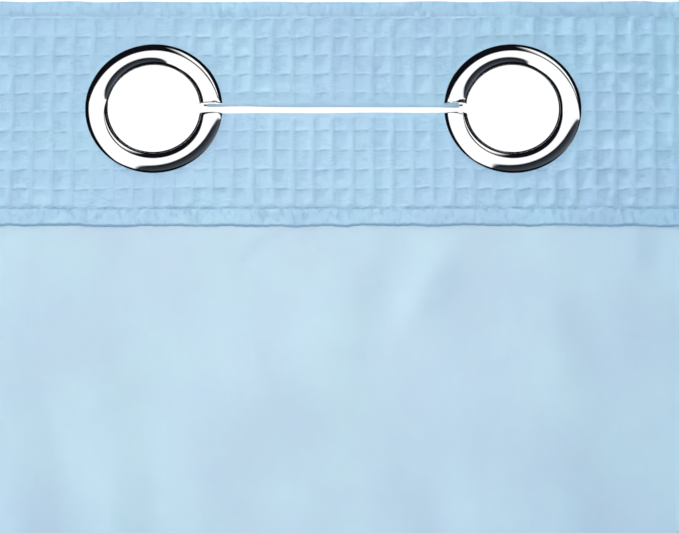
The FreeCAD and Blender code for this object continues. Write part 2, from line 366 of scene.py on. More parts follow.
def header_half(x, z, side):
    """Half of the header's thickness at a point of its front (side -1) or back (side 1)."""
    in_body = smoothstep(0.3, 1.5, TOP_STITCH - z) * smoothstep(0.3, 1.5, z - FOOT_STITCH)
    far = ring_distance(x, z)
    clear_of_ring = 0.35 + 0.65 * smoothstep(RING_RADIUS, RING_RADIUS + 7, far)
    slit = slit_share(x)
    lip_width = np.where(z > 0, 3.0, 2.0)
    from_slit = np.abs(z) - HALF_SLIT
    on_lip = slit * (1 - smoothstep(lip_width * 0.8, lip_width * 1.4, from_slit))
    lip_slope = slit * np.clip(1 - from_slit / lip_width, 0, 1) * np.where(z > 0, 0.22, -0.16)
    height = RELIEF * (0.92 + 0.16 * noise(x, z, 48.0, 18) + 1.02 * pulled(x) - 0.42 * looseness(x))
    weave = height * waffle(x + BACK_SHIFT * (side > 0), z) * in_body * clear_of_ring * (1 - 0.9 * on_lip)
    hem = (1 - in_body) * (0.25 + crinkle(x, z))
    pucker = np.cos(2 * np.pi * x / STITCH_PITCH + 1.2 * noise(x, z, 13.0, 9))
    seam = 0.0
    for row in (TOP_STITCH, FOOT_STITCH):
        away = np.abs(z - row)
        seam = seam + 0.30 * bump(away, 0.7) + 0.10 * bump(away, 2.6) * pucker
    half = HALF_HEADER - 0.45 + weave - seam + hem + lip_slope
    return np.maximum(half, 0.30)


def header_surface(x, z, side):
    """Depth of the header's front (side -1) or back (side 1) face."""
    far = ring_distance(x, z)
    pressed = 1 - smoothstep(RING_RADIUS - 1.0, RING_RADIUS + 2.0, far)
    half = header_half(x, z, side) * (1 - pressed) + (HALF_HEADER - 0.02) * pressed
    half = half * rounded(np.minimum(HEADER_TOP - z, z - HEADER_FOOT), HEADER_ROUND)
    t = np.where(slit_share(x) > 0, np.clip((np.abs(z) - HALF_SLIT) / SLIT_ROUND, 0, 1), 1)
    half = half * (1 - 0.72 * (1 - t) ** 2)
    return side * half + billow(x, z)


# ---------------- cloth meshes
def edge_steps(low, high, step, ends):
    """Rows from low to high, closer together near the two ends."""
    first, last = np.array((0,) + ends[:-1]), np.array(ends[:-1][::-1] + (0,))
    inner = np.linspace(low + ends[-1], high - ends[-1], max(2, int(round((high - low) / step))))
    return np.concatenate([low + first, inner, high - last])


def span_columns(number, step):
    """X values of one span: 0 is left of the first ring, 12 right of the last, others ring to ring."""
    left, right = SPAN_ENDS[number:number + 2]
    return np.linspace(left, right, int(round((right - left) / step)) + 1)


def span_name(number):
    if number == 0:
        return "edge_left"
    if number == RING_COUNT:
        return "edge_right"
    return f"{number:02d}_{number + 1:02d}"


class Cloth:
    """Collects grids of cloth, each with its normals, cloth coordinates and weave, for one mesh."""

    def __init__(self):
        self.grids, self.quads = [], []
        self.count = 0

    def add_grid(self, points, normals, flat, weave, keep, flip):
        """Add a grid and return its vertex numbers. keep says which of its faces are there."""
        rows, columns = points.shape[:2]
        index = np.arange(rows * columns).reshape(rows, columns) + self.count
        quads = np.stack([index[:-1, :-1], index[:-1, 1:], index[1:, 1:], index[1:, :-1]], -1)[keep]
        self.quads.append(quads[:, ::-1] if flip else quads)
        values = (points, normals, flat, weave)
        self.grids.append([part.reshape(-1, part.shape[-1]) for part in values])
        self.count += rows * columns
        return index

    def add_rim(self, first, second, keep):
        """Join two rows of vertices."""
        quads = np.stack([first[:-1], second[:-1], second[1:], first[1:]], -1)[keep]
        self.quads.append(quads)

    def add_layers(self, xs, zs, depth, maps, moved=None, sides=(-1, 1)):
        """Add the front and back layer over xs and zs, or one, without the holes for the rings.

        Two layers are joined along their highest and lowest rows. maps gives a layer's cloth
        coordinates and weave. moved shifts its points at last.
        """
        grids = []
        for side in sides:
            points, normals = padded_surface(xs, zs, lambda x, z: depth(x, z, side), side)
            flat, weave = maps(points, side)
            middles = (points[:-1, :-1] + points[1:, 1:]) / 2
            keep = ring_distance(middles[..., 0], middles[..., 2]) > HIDDEN_HOLE
            points = moved(points) if moved else points
            grids.append(self.add_grid(points, normals, flat, weave, keep, side > 0))
        if len(grids) == 2:
            front, back = grids
            self.add_rim(front[-1], back[-1], keep[-1])
            self.add_rim(back[0], front[0], keep[0])
        return grids

    def build(self, name):
        """One object of all that was added, without the vertices that no face uses."""
        used, quads = np.unique(np.concatenate(self.quads), return_inverse=True)
        quads = quads.reshape(-1, 4)
        points, normals, flat, weave = (np.concatenate(part)[used] for part in zip(*self.grids))
        mesh = bpy.data.meshes.new(name)
        mesh.vertices.add(len(points))
        mesh.vertices.foreach_set("co", (points * MM).astype(np.float32).ravel())
        mesh.loops.add(len(quads) * 4)
        mesh.loops.foreach_set("vertex_index", quads.astype(np.int32).ravel())
        mesh.polygons.add(len(quads))
        mesh.polygons.foreach_set("loop_start", np.arange(0, len(quads) * 4, 4, dtype=np.int32))
        mesh.update(calc_edges=True)
        mesh.validate()
        mesh.polygons.foreach_set("use_smooth", np.ones(len(quads), bool))
        for label, values in (("cloth", flat * MM), ("weave", weave)):
            layer = mesh.uv_layers.new(name=label)
            layer.data.foreach_set("uv", values[quads.ravel()].astype(np.float32).ravel())
        mesh.normals_split_custom_set_from_vertices(normals.astype(np.float32).tolist())
        return in_scene(name, mesh)


def grid_normals(points, side):
    """Unit normals of a grid of points, pointing to -Y for side -1 and +Y for side 1."""
    along = np.gradient(points, axis=1)
    up = np.gradient(points, axis=0)
    normal = np.cross(along, up)
    normal /= np.linalg.norm(normal, axis=-1, keepdims=True) + 1e-12
    wrong = np.sign(normal[..., 1:2]) != side
    return np.where(wrong, -normal, normal)


def padded_surface(xs, zs, depth, side):
    """Points and normals over xs and zs; normals look one step past the left and right seams."""
    step = xs[1] - xs[0]
    wide = np.concatenate([[xs[0] - step], xs, [xs[-1] + step]])
    gx, gz = np.meshgrid(wide, zs)
    points = np.stack([gx, depth(gx, gz), gz], axis=-1)
    normals = grid_normals(points, side)
    return points[:, 1:-1], normals[:, 1:-1]


def wavy_edges(points):
    """Let the header's edges and the slit's lips wander a little, as sewn and cut cloth does.

    The slit also opens a little towards the odd ring of its pair.
    """
    x, z = points[..., 0], points[..., 2]
    scallop = 0.10 * np.cos(2 * np.pi * x / STITCH_PITCH)
    top = bump(HEADER_TOP - z, 6.0) * (0.30 * noise(x, 0 * x, 17.0, 41) - 0.1)
    foot = bump(z - HEADER_FOOT, 5.0) * (0.45 * noise(x, 0 * x + 50, 7.0, 42) + scallop)
    along = (x - RING_X[0]) / PITCH
    opening = 0.24 - 0.48 * (along - np.floor(along))
    wander = 0.15 * noise(x, np.sign(z) * 40, 19.0, 43)
    lips = slit_share(x) * bump(np.abs(z) - HALF_SLIT, 3.0) * np.sign(z) * (opening + wander)
    points[..., 2] = z + top + foot + lips
    return points


def ride_or_bend(thing, number):
    """Fasten an end span to its body; any other span stays where it is, its transform baked into its mesh.
    """
    if number in (0, RING_COUNT):
        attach(thing, f"panel_{max(number, 1):02d}")
        return
    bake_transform(thing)


def split_rows(number, lower, upper, middle=()):
    """The rows below and above the slit as two sets, or all as one where the span has no slit."""
    if 0 < number < RING_COUNT and number % 2 == 1:
        return [lower, upper]
    return [np.concatenate([lower, middle, upper])]


def header_maps(points, side):
    """Cloth coordinates that run down the front and on down the back, and places in the weave."""
    x, z = points[..., 0], points[..., 2]
    flat = np.stack([x, side * (HEADER_TOP - z)], axis=-1)
    return flat, np.stack(weave_place(x + BACK_SHIFT * (side > 0), z), axis=-1)


def plain_maps(points, side):
    """The same map twice: where a point lies, with the back beside the front."""
    flat = points[..., [0, 2]] + np.array([MAP_SHIFT * (side > 0), 0])
    return flat, flat


def header_span(number):
    """One length of the doubled waffle band, with its holes and, between paired rings, its slit."""
    xs = span_columns(number, HEADER_STEP)
    lower = edge_steps(HEADER_FOOT, -HALF_SLIT, HEADER_STEP, HEADER_EDGE)
    upper = edge_steps(HALF_SLIT, HEADER_TOP, HEADER_STEP, HEADER_EDGE)
    middle = np.linspace(-HALF_SLIT, HALF_SLIT, 6)[1:-1]
    cloth = Cloth()
    for zs in split_rows(number, lower, upper, middle):
        cloth.add_layers(xs, zs, header_surface, header_maps, wavy_edges)
    return cloth.build(f"header_{span_name(number)}")


def stiffener_span(number):
    """The stiffening strip between the header's layers."""
    xs = span_columns(number, STRIP_STEP)
    edge = HALF_SLIT + 0.25
    lower = np.linspace(STRIP_LOW.z, -edge, 24)
    upper = np.linspace(edge, STRIP_HIGH.z, 30)
    cloth = Cloth()
    for zs in split_rows(number, lower, upper):
        cloth.add_layers(xs, zs, lambda x, z, side: billow(x, z), plain_maps, sides=(-1,))
    return cloth.build(f"stiffener_{span_name(number)}")


def cloth_span(number):
    """One width of the smooth curtain cloth, from inside the header to the bottom edge."""
    near = np.linspace(CLOTH_TOP, HEADER_FOOT - FINE_REACH, 90)
    far = np.linspace(HEADER_FOOT - FINE_REACH, CLOTH_FOOT + 0.4, 210)[1:]
    xs, zs = span_columns(number, CLOTH_STEP), np.concatenate([near, far])[::-1]
    cloth = Cloth()
    cloth.add_layers(xs, zs, lambda x, z, side: ripple(x, z), plain_maps, sides=(-1,))
    return cloth.build(f"curtain_{span_name(number)}")


def strip_surface(low, high, across, thickness):
    """Depth function of a doubled strip whose edges are rounded over across its width."""
    def depth(x, z, side):
        position = across(x, z)
        half = thickness * rounded(np.minimum(position - low, high - position), HEM_ROUND)
        seam = 0.25 * bump(np.abs(position - (high - HEM_STITCH)), 0.8)
        return ripple(x, z) + side * (half - seam + 0.05 * noise(x, z, 5.0, 51))
    return depth


def bottom_hem_span(number):
    """The turned hem along the bottom edge."""
    low, high = CLOTH_FOOT, CLOTH_FOOT + HEM_HEIGHT
    cloth = Cloth()
    cloth.add_layers(span_columns(number, CLOTH_STEP), edge_steps(low, high, 2.0, STRIP_EDGE),
                     strip_surface(low, high, lambda x, z: z, HALF_HEM), plain_maps)
    return cloth.build(f"hem_{span_name(number)}")


def side_hem(number):
    """The turned hem down one side edge, closed along its outer edge."""
    outer, inner = LEFT_EDGE, LEFT_EDGE + SIDE_HEM
    if number == RING_COUNT:
        outer, inner = RIGHT_EDGE, RIGHT_EDGE - SIDE_HEM
    xs = edge_steps(min(outer, inner), max(outer, inner), 2.0, STRIP_EDGE)
    zs = np.linspace(CLOTH_FOOT + HEM_HEIGHT - 1, HEADER_FOOT - 0.5, 260)
    depth = strip_surface(0, SIDE_HEM, lambda x, z: np.abs(x - outer), HALF_HEM * 0.96)
    cloth = Cloth()
    front, back = cloth.add_layers(xs, zs, depth, plain_maps)
    keep = np.ones(len(zs) - 1, bool)
    if number == 0:
        cloth.add_rim(front[:, 0], back[:, 0], keep)
    else:
        cloth.add_rim(back[:, -1], front[:, -1], keep)
    return cloth.build(f"side_hem_{'left' if number == 0 else 'right'}")


# ---------------- stitches
def swept_quads(rings, sides):
    """Vertex numbers of rings of points that follow each other, and the quads between the rings."""
    index = np.arange(rings * sides).reshape(rings, sides)
    after = np.roll(index, -1, axis=1)
    return index, np.stack([index[:-1], after[:-1], after[1:], index[1:]], -1).reshape(-1, 4)


def stitch_shape():
    """One stitch along X, one millimetre long and wide: rings of points round a bowed thread."""
    t = np.linspace(0, 1, STITCH_RINGS)[:, None]
    radius = 0.5 * np.sin(np.pi * (0.06 + 0.88 * t)) ** 0.5
    turn = 2 * np.pi * np.arange(STITCH_SIDES) / STITCH_SIDES + 0.9 * t
    height = radius * np.cos(turn) - np.sin(np.pi * t)
    points = np.stack([t - 0.5 + 0 * turn, height, radius * np.sin(turn)], -1)
    return points.reshape(-1, 3), swept_quads(STITCH_RINGS, STITCH_SIDES)[1]


def stitch_rows(name, rows, thickness):
    """Rows of stitches joined in one mesh. A row is its stitches' centres and its side of the cloth."""
    shape, quads = stitch_shape()
    points, faces, flat = [], [], []
    for centres, side in rows:
        for place in centres:
            faces.append(quads + len(points) * len(shape))
            points.append(shape * (STITCH_LENGTH, -side * thickness, side * thickness) + place)
            flat.append(np.stack([shape[:, 0] * STITCH_LENGTH + place[0] + place[2], shape[:, 2]], -1))
    faces = np.concatenate(faces)
    mesh = smooth_mesh(name, np.concatenate(points), faces.tolist())
    layer = mesh.uv_layers.new(name="cloth")
    layer.data.foreach_set("uv", (np.concatenate(flat) * MM)[faces.ravel()].astype(np.float32).ravel())
    return in_scene(name, mesh)


def stitch_places(number):
    """X values of one span's stitches, clear of its ends."""
    left, right = SPAN_ENDS[number:number + 2]
    first = math.ceil((left + 0.2) / STITCH_PITCH)
    last = math.floor((right - 0.2) / STITCH_PITCH)
    return np.arange(first, last + 1) * STITCH_PITCH


def both_sides(x, z, depth):
    """A row of stitches on the cloth's front and one on its back, as deep as depth says for a side."""
    return [(np.stack([x, depth(side), z], -1), side) for side in (-1, 1)]


def header_stitches(number):
    """Two rows of thread on the front and the back of the header."""
    x = stitch_places(number)
    rows = []
    for height in (TOP_STITCH, FOOT_STITCH):
        z = height + 0.18 * noise(x, height, 9.0, 61)
        rows += both_sides(x, z, lambda side: header_surface(x, 0 * x + height, side) + side * 0.02)
    return stitch_rows(f"header_stitch_{span_name(number)}", rows, 0.34)


def hem_stitches(number):
    """One row of thread along the top of the bottom hem, front and back."""
    x = stitch_places(number)
    z = 0 * x + CLOTH_FOOT + HEM_HEIGHT - HEM_STITCH
    rows = both_sides(x, z, lambda side: ripple(x, z) + side * (HALF_HEM - 0.2))
    return stitch_rows(f"hem_stitch_{span_name(number)}", rows, 0.30)


# ---------------- rings
def arc(start, end, radius, steps):
    """Points of an arc from start to end, bulging to the left of the way it is travelled."""
    start, end = np.array(start, float), np.array(end, float)
    chord = end - start
    half = np.hypot(*chord) / 2
    left = np.array([-chord[1], chord[0]]) / (2 * half)
    centre = (start + end) / 2 - left * math.sqrt(radius ** 2 - half ** 2)
    first = math.atan2(*(start - centre)[::-1])
    last = math.atan2(*(end - centre)[::-1])
    turn = (last - first + math.pi) % (2 * math.pi) - math.pi
    angles = first + turn * np.linspace(0, 1, steps + 1)
    return [tuple(centre + radius * np.array([math.cos(a), math.sin(a)])) for a in angles]


SEAT = node_box("ring_back_06")[0].y  # where a ring half meets the cloth
BACK_FACE = FRONT_HIGH.y
CROWN_RISE = 0.35
SHOULDER = -FRONT_LOW.y - CROWN_RISE
THROAT_RISE = 1.07  # height of the bore's straight wall above the seat
FRONT_RIM = 1.22  # height of each half's straight rim above the seat
BACK_RIM = 0.74
RIM_FILLET = 0.28
RIM_INSET = 0.12  # the fillet starts this far inside the rim
LIP = 0.30  # rounding of the edges at the back
THROAT_RADIUS = 3.75  # radii of the section's arcs
CROWN_RADIUS = 8.8
FRONT_SLOPE = 5.6
BACK_SLOPE = 5.1
END_REACH = 0.7  # a ring's ends are softened over this length
END_SHRINK = 0.16  # by this share of their height
END_SHARE = 0.04  # the sweep's steps are closer together in this share at an end


def rim(start, radius, height):
    """The slope down to the rim and the fillet at its foot."""
    slope = arc(start, (RING_RADIUS - RIM_INSET, SEAT + height + RIM_FILLET), radius, 12)
    return slope + arc(slope[-1], (RING_RADIUS, SEAT + height), RIM_FILLET, 5)[1:] + [(RING_RADIUS, SEAT)]


def front_section():
    """Cross-section of the domed half, as radius and forward distance, once round."""
    inner, outer = BORE_RADIUS + 2.2, RING_RADIUS - 2.4
    return (arc((BORE_RADIUS, SEAT + THROAT_RISE), (inner, SHOULDER), THROAT_RADIUS, 12)
            + arc((inner, SHOULDER), (outer, SHOULDER), CROWN_RADIUS, 14)[1:]
            + rim((outer, SHOULDER), FRONT_SLOPE, FRONT_RIM)[1:]
            + [(COLLAR_RADIUS, SEAT), (COLLAR_RADIUS, -BACK_FACE + LIP / 2),
               (COLLAR_RADIUS - LIP / 2, -BACK_FACE), (BORE_RADIUS + LIP, -BACK_FACE)]
            + arc((BORE_RADIUS + LIP, -BACK_FACE), (BORE_RADIUS, -BACK_FACE + LIP), LIP, 4)[1:])


def back_section():
    """Cross-section of the flatter half, as radius and rearward distance, once round."""
    inner, outer = COLLAR_RADIUS + 0.1, RING_RADIUS - 2.2
    lip = arc((inner, BACK_FACE - LIP), (inner + LIP, BACK_FACE), LIP, 4)
    return lip + rim((outer, BACK_FACE), BACK_SLOPE, BACK_RIM) + [(inner, SEAT)]


def split_ring(name, number, section, facing):
    """Sweep a section round the bore from one side of the split to the other, with softened ends."""
    section = np.array(section)
    near = 0.5 - 0.5 * np.cos(np.linspace(0, math.pi, 9))
    body = np.linspace(END_SHARE, 1 - END_SHARE, 240)[1:-1]
    turns = np.concatenate([END_SHARE * near, body, 1 - END_SHARE + END_SHARE * near])
    radius, rise = section[:, 0], section[:, 1]
    gap = np.arcsin(SPLIT_WIDTH / 2 / radius)
    angles = gap + np.outer(turns, 2 * math.pi - 2 * gap)
    from_end = np.minimum(turns, 1 - turns)[:, None] * 2 * math.pi * radius
    t = np.clip(from_end / END_REACH, 0, 1)
    shrink = 1 - END_SHRINK + END_SHRINK * np.sqrt(1 - (1 - t) ** 2)
    rises = np.where(rise > SEAT, SEAT + (rise - SEAT) * shrink, rise)
    hand = 1 if number % 2 else -1
    points = np.stack([hand * radius * np.cos(angles), facing * rises, radius * np.sin(angles)], -1)
    points = points.reshape(-1, 3) + np.array([RING_X[number - 1], 0, 0])
    index, quads = swept_quads(len(turns), len(section))
    faces = quads.tolist() + [index[0][::-1].tolist(), index[-1].tolist()]
    mesh = smooth_mesh(name, points, faces)
    work = bmesh.new()
    work.from_mesh(mesh)
    bmesh.ops.recalc_face_normals(work, faces=work.faces)
    work.to_mesh(mesh)
    work.free()
    mesh.set_sharp_from_angle(angle=math.radians(30))
    return in_scene(name, mesh)


# ---------------- materials
BLACK = (0.0, 0.0, 0.0)
WHITE = (1.0, 1.0, 1.0)


class Nodes:
    """A small helper to lay out the nodes of a material, or of the world."""

    def __init__(self, owner):
        owner.use_nodes = True
        self.owner = owner
        self.tree = owner.node_tree
        self.shader = self.tree.nodes.get("Principled BSDF")

    def node(self, kind, **inputs):
        """A node with those properties and input values; a _ stands for a space in an input's name."""
        made = self.tree.nodes.new(kind)
        for key, value in inputs.items():
            if hasattr(made, key):
                setattr(made, key, value)
            else:
                made.inputs[key.replace("_", " ")].default_value = value
        return made

    def link(self, source, target):
        self.tree.links.new(source, target)

    def applied(self, kind, source, **inputs):
        """A node with those values that takes the source as its first input."""
        made = self.node(kind, **inputs)
        self.link(source, made.inputs[0])
        return made

    def cloth_map(self, name="cloth"):
        """Where a point lies on the cloth, in metres, or in the weave's cells for the map called weave."""
        return self.node("ShaderNodeUVMap", uv_map=name).outputs[0]

    def parts(self, vector):
        """The X, Y and Z of a vector."""
        return self.applied("ShaderNodeSeparateXYZ", vector).outputs

    def noise(self, vector, scale, detail=2.0, roughness=0.5):
        return self.applied("ShaderNodeTexNoise", vector, Scale=scale, Detail=detail,
                            Roughness=roughness).outputs["Fac"]

    def drawn_noise(self, vector, scales, detail, roughness=0.5, turn=0.0):
        """Noise that is drawn out along one way, because each axis has its own scale."""
        drawn = self.applied("ShaderNodeMapping", vector, Scale=scales, Rotation=(0, 0, turn))
        return self.noise(drawn.outputs[0], 1.0, detail, roughness)

    def math(self, operation, *values):
        made = self.node("ShaderNodeMath", operation=operation)
        for slot, value in enumerate(values):
            if isinstance(value, (int, float)):
                made.inputs[slot].default_value = value
            else:
                self.link(value, made.inputs[slot])
        return made.outputs[0]

    def times(self, first, *others):
        for value in others:
            first = self.math("MULTIPLY", first, value)
        return first

    def plus(self, first, *others):
        for value in others:
            first = self.math("ADD", first, value)
        return first

    def minus(self, first, second):
        return self.math("SUBTRACT", first, second)

    def size(self, value):
        return self.math("ABSOLUTE", value)

    def larger(self, first, second):
        return self.math("MAXIMUM", first, second)

    def smooth(self, value, zero, one):
        """0 where the value is at or past zero, 1 at or past one, and a smooth change between."""
        return self.applied("ShaderNodeMapRange", value, interpolation_type="SMOOTHSTEP",
                            From_Min=zero, From_Max=one).outputs[0]

    def inside(self, value, limit, soft):
        """1 while a value is under a limit, falling softly to 0 past it."""
        return self.smooth(value, limit + soft, limit - soft)

    def ramp(self, value, stops):
        made = self.applied("ShaderNodeValToRGB", value)
        elements = made.color_ramp.elements
        while len(elements) < len(stops):
            elements.new(0.5)
        for element, (place, colour) in zip(elements, stops):
            element.position = place
            element.color = (*colour, 1)
        return made.outputs[0]

    def mix(self, share, first, second, blend="MIX"):
        made = self.node("ShaderNodeMix", data_type="RGBA", blend_type=blend)
        for slot, value in ((0, share), (6, first), (7, second)):
            if isinstance(value, (int, float)):
                made.inputs[slot].default_value = value
            elif isinstance(value, tuple):
                made.inputs[slot].default_value = (*value, 1)
            else:
                self.link(value, made.inputs[slot])
        return made.outputs[2]

    def bump(self, height, distance):
        made = self.node("ShaderNodeBump", Strength=1.0, Distance=distance)
        self.link(height, made.inputs["Height"])
        self.link(made.outputs[0], self.shader.inputs["Normal"])

    def set(self, **values):
        """Give the shader's inputs these values, or link them to these nodes' outputs."""
        for key, value in values.items():
            target = self.shader.inputs[key.replace("_", " ")]
            if isinstance(value, bpy.types.NodeSocket):
                self.link(value, target)
            else:
                target.default_value = value


def linear(red, green, blue):
    """A colour given in display values from 0 to 255, as linear light."""
    def one(value):
        value = value / 255
        return value / 12.92 if value <= 0.04045 else ((value + 0.055) / 1.055) ** 2.4
    return one(red), one(green), one(blue)


WAFFLE_LIGHT = linear(174, 212, 233)
WAFFLE_DARK = linear(173, 204, 230)
# painted shade colour for the lines beside and under the ridges, in crinkles, along the foot and along the
# lower seam
WAFFLE_PAINTED_SHADE = linear(140, 178, 208)
# painted highlight colour along the upper edge of each level ridge
WAFFLE_PAINTED_HIGHLIGHT = linear(190, 221, 241)
SMOOTH_LIGHT = linear(190, 219, 234)
SMOOTH_DARK = linear(187, 212, 231)
STRIP_LIGHT = linear(222, 233, 241)
STRIP_DARK = linear(196, 214, 228)
THREAD_LIGHT = linear(192, 220, 240)
THREAD_GROOVE_SHADE = linear(168, 200, 224)
FRONT_CHROME = (0.90, 0.91, 0.93)
BACK_CHROME = (0.88, 0.89, 0.91)
WAFFLE_THREAD = 1.1  # repeat of the weave's threads, in millimetres
SMOOTH_THREAD = 0.7
PAINTED_SHADE_SHARE = 0.72  # strength of the painted shade colour, of the painted highlight colour, and of each kind of painted shade line
PAINTED_HIGHLIGHT_SHARE = 0.40
CRINKLE_SHADE_SHARE = 0.42
UPRIGHT_SHADE_SHARE = 0.38
UNDER_RIDGE_SHADOW_SHARE = 0.30
HEM_CRINKLE_SHADE_SHARE = 0.58
FOOT_EDGE_SHADE_SHARE = 1.3


def thread_height(nodes, vector, repeat):
    """Height of a plain weave: two crossed sets of threads, as a share from 0 to 1."""
    turns = 2 * math.pi / (repeat * MM)
    warp, weft = (nodes.math("SINE", nodes.times(part, turns)) for part in nodes.parts(vector)[:2])
    return nodes.plus(nodes.times(warp, weft, 0.5), 0.5)


def crease(nodes, cells, past, width):
    """1 along a line this far past each ridge's centre, in millimetres, falling to 0 at the width."""
    along = nodes.math("FRACT", nodes.minus(cells, past / CELL - 0.5))
    return nodes.smooth(nodes.size(nodes.minus(along, 0.5)), width / CELL, 0.0)


def weave_shade_and_highlight(nodes, breaks):
    """Painted shade lines beside the ridges, right of each upright and under each level ridge with a wide
    soft painted shadow below it, interrupted by the breaks, and a painted highlight line on each level
    ridge.
    """
    across, up, _ = nodes.parts(nodes.cloth_map("weave"))
    off_crossing = nodes.minus(1.0, crease(nodes, across, 0.0, 1.9))
    # Painted shade right of each upright ridge; painted shadow under each level ridge, a thin dark line
    # and a wide soft band.
    upright = nodes.times(crease(nodes, across, 1.35, 0.70), UPRIGHT_SHADE_SHARE)
    under = nodes.times(crease(nodes, up, -1.7, 1.7), UNDER_RIDGE_SHADOW_SHARE)
    level = nodes.times(nodes.larger(crease(nodes, up, -0.75, 0.55), under), off_crossing)
    lit = nodes.times(crease(nodes, up, 0.30, 0.60), off_crossing)
    return nodes.times(nodes.larger(upright, level), breaks), lit


def crinkle_shade_lines(nodes, place):
    """Short wavy lines of painted shade, as in fine crinkles, scattered over the cloth."""
    wavy = nodes.minus(nodes.drawn_noise(place, (120.0, 330.0, 1.0), 2.0, 0.6, turn=0.10), 0.5)
    gaps = nodes.ramp(nodes.noise(place, 95.0, 1.0), ((0.42, BLACK), (0.60, WHITE)))
    return nodes.times(nodes.inside(nodes.size(wavy), 0.025, 0.025), gaps)


def above(nodes, from_top, height, soft):
    """1 on the header above a height, in millimetres, falling softly to 0 below it."""
    return nodes.inside(from_top, (HEADER_TOP - height) * MM, soft * MM)


def waffle_material():
    """Waffle weave with painted shade lines beside its ridges and a painted highlight along its level
    ridges, and painted shade in crinkles, along the foot and along the seam where it is sewn.
    """
    nodes = Nodes(bpy.data.materials.new("waffle_cloth"))
    place = nodes.cloth_map()
    from_top = nodes.size(nodes.parts(place)[1])
    below_stitch = nodes.minus(1.0, above(nodes, from_top, FOOT_STITCH + 0.6, 0.5))
    in_hem = nodes.plus(above(nodes, from_top, TOP_STITCH - 0.6, 0.5), below_stitch)
    in_body = nodes.minus(1.0, in_hem)
    at_foot = nodes.minus(1.0, above(nodes, from_top, HEADER_FOOT + 0.8, 0.35))
    off_seam = nodes.size(nodes.minus(from_top, (HEADER_TOP - FOOT_STITCH) * MM))
    breaks = nodes.ramp(nodes.noise(place, 210.0, 1.0), ((0.34, BLACK), (0.56, WHITE)))
    dark, lit = weave_shade_and_highlight(nodes, breaks)
    # Painted shade in fine crinkles, joined to the ridge lines.
    dark = nodes.larger(dark, nodes.times(crinkle_shade_lines(nodes, place), CRINKLE_SHADE_SHARE))
    # Painted shade in the hem strips' crinkles.
    marks = nodes.drawn_noise(place, (420.0, 170.0, 1.0), 1.0, turn=0.25)
    marks = nodes.ramp(marks, ((0.52, BLACK), (0.70, WHITE)))
    lines = nodes.plus(nodes.times(dark, in_body), nodes.times(marks, in_hem, HEM_CRINKLE_SHADE_SHARE))
    # Painted shade along the header's rolled foot edge.
    lines = nodes.larger(lines, nodes.times(at_foot, FOOT_EDGE_SHADE_SHARE))
    # Painted shade along the groove of the lower stitch row, broken like the other lines.
    lines = nodes.larger(lines, nodes.times(nodes.inside(off_seam, 0.45 * MM, 0.30 * MM), breaks))
    shade = nodes.ramp(nodes.noise(place, 20.0, 3.0), ((0.35, WAFFLE_DARK), (0.65, WAFFLE_LIGHT)))
    flecks = nodes.ramp(nodes.noise(place, 1500.0, 2.0), ((0.3, (0.95, 0.96, 0.97)), (0.7, WHITE)))
    colour = nodes.mix(1.0, shade, flecks, "MULTIPLY")
    # Painted highlight along the upper edge of each level ridge.
    colour = nodes.mix(nodes.times(lit, in_body, PAINTED_HIGHLIGHT_SHARE), colour, WAFFLE_PAINTED_HIGHLIGHT)
    # Painted shade: every line above is darkened towards this colour.
    colour = nodes.mix(nodes.times(lines, PAINTED_SHADE_SHARE), colour, WAFFLE_PAINTED_SHADE)
    fuzz = nodes.noise(place, 1200.0, 3.0, 0.6)
    wrinkles = nodes.noise(place, 380.0, 3.0, 0.65)
    threads = thread_height(nodes, place, WAFFLE_THREAD)
    height = nodes.plus(nodes.times(threads, 0.5), fuzz, nodes.times(wrinkles, 2.2))
    nodes.bump(nodes.minus(height, nodes.times(lines, 0.9)), 0.10 * MM)
    nodes.set(Base_Color=colour, Roughness=nodes.plus(nodes.times(fuzz, 0.12), 0.80), Sheen_Weight=0.15,
              Sheen_Roughness=0.5, Specular_IOR_Level=0.2)
    return nodes.owner


def smooth_material():
    """Smooth cloth with a faint patchy colour, slubs along its threads and a soft sheen."""
    nodes = Nodes(bpy.data.materials.new("smooth_cloth"))
    place = nodes.cloth_map()
    shade = nodes.ramp(nodes.noise(place, 17.0, 3.5, 0.6), ((0.40, SMOOTH_DARK), (0.60, SMOOTH_LIGHT)))
    slub = nodes.drawn_noise(place, (900.0, 60.0, 1.0), 2.0)
    slub_tone = nodes.ramp(slub, ((0.3, (0.988, 0.990, 0.992)), (0.7, WHITE)))
    colour = nodes.mix(1.0, shade, slub_tone, "MULTIPLY")
    threads = thread_height(nodes, place, SMOOTH_THREAD)
    nodes.bump(nodes.plus(threads, nodes.times(slub, 0.8)), 0.015 * MM)
    nodes.set(Base_Color=colour, Roughness=nodes.plus(nodes.times(slub, 0.10), 0.52), Sheen_Weight=0.3,
              Sheen_Roughness=0.35, Specular_IOR_Level=0.35)
    return nodes.owner


def interfacing_material():
    """Matt strip of pressed fibres."""
    nodes = Nodes(bpy.data.materials.new("interfacing"))
    fibres = nodes.noise(nodes.cloth_map(), 700.0, 5.0, 0.7)
    nodes.bump(fibres, 0.1 * MM)
    nodes.set(Base_Color=nodes.ramp(fibres, ((0.35, STRIP_DARK), (0.65, STRIP_LIGHT))), Roughness=0.9,
              Specular_IOR_Level=0.15)
    return nodes.owner


def thread_material():
    """Sewing thread, twisted from strands, with painted shade in the grooves between them."""
    nodes = Nodes(bpy.data.materials.new("thread"))
    wave = nodes.applied("ShaderNodeTexWave", nodes.cloth_map(), Scale=900.0, Distortion=0.6)
    twist = wave.outputs["Fac"]
    nodes.bump(twist, 0.05 * MM)
    # Painted shade: the thread is darker where the twist's bump is low, in the grooves between strands.
    nodes.set(Base_Color=nodes.ramp(twist, ((0.2, THREAD_GROOVE_SHADE), (0.8, THREAD_LIGHT))), Roughness=0.55,
              Sheen_Weight=0.2)
    return nodes.owner


